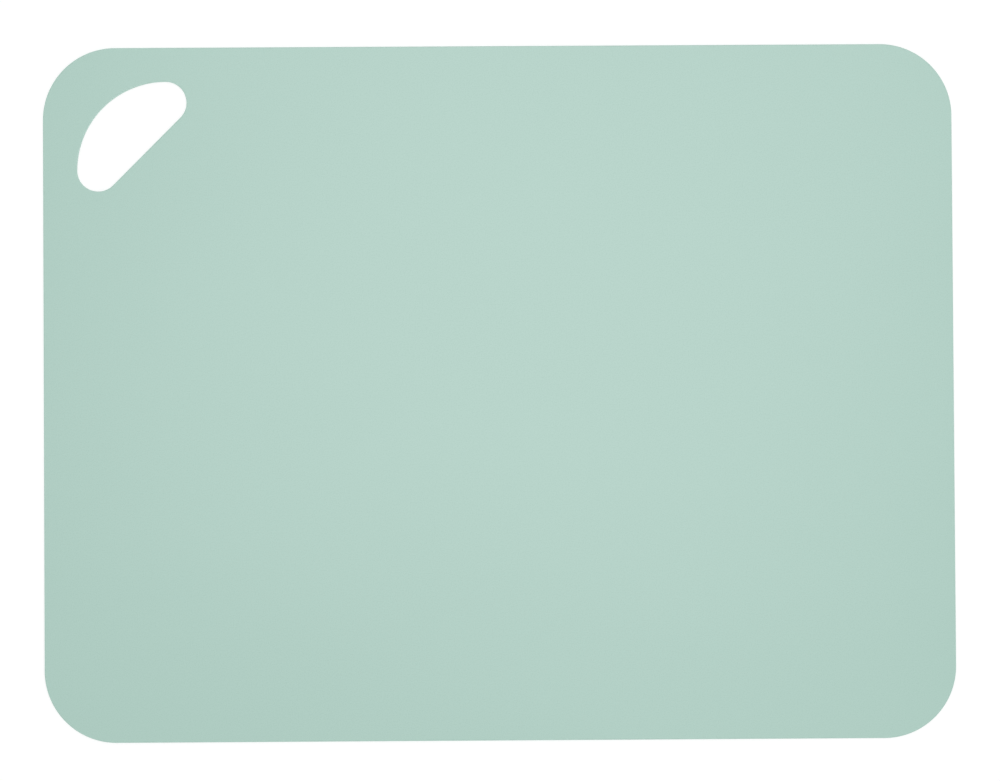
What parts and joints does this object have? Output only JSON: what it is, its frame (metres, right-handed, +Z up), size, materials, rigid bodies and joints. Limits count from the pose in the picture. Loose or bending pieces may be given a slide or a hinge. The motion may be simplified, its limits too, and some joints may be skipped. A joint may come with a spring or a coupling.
{
  "type": "flexible cutting mat",
  "caption": "Thin flexible plastic sheet with round corners and a half-moon finger hole in one corner, laid on a worktop to cut food on and bent to pour it off.",
  "frame": {"origin": "middle of the underside, where the mat rests", "axes": "+X along the length, +Y along the width away from the user, +Z up through the thickness; the finger hole is in the corner at -X, +Y"},
  "size_m": [0.38, 0.29, 0.001],
  "materials": {
    "mat_plastic": "matt pale mint polypropylene sheet with a very fine grain"
  },
  "bodies": {
    "root": {"cutting_mat": "mat_plastic"}
  },
  "joints": []
}
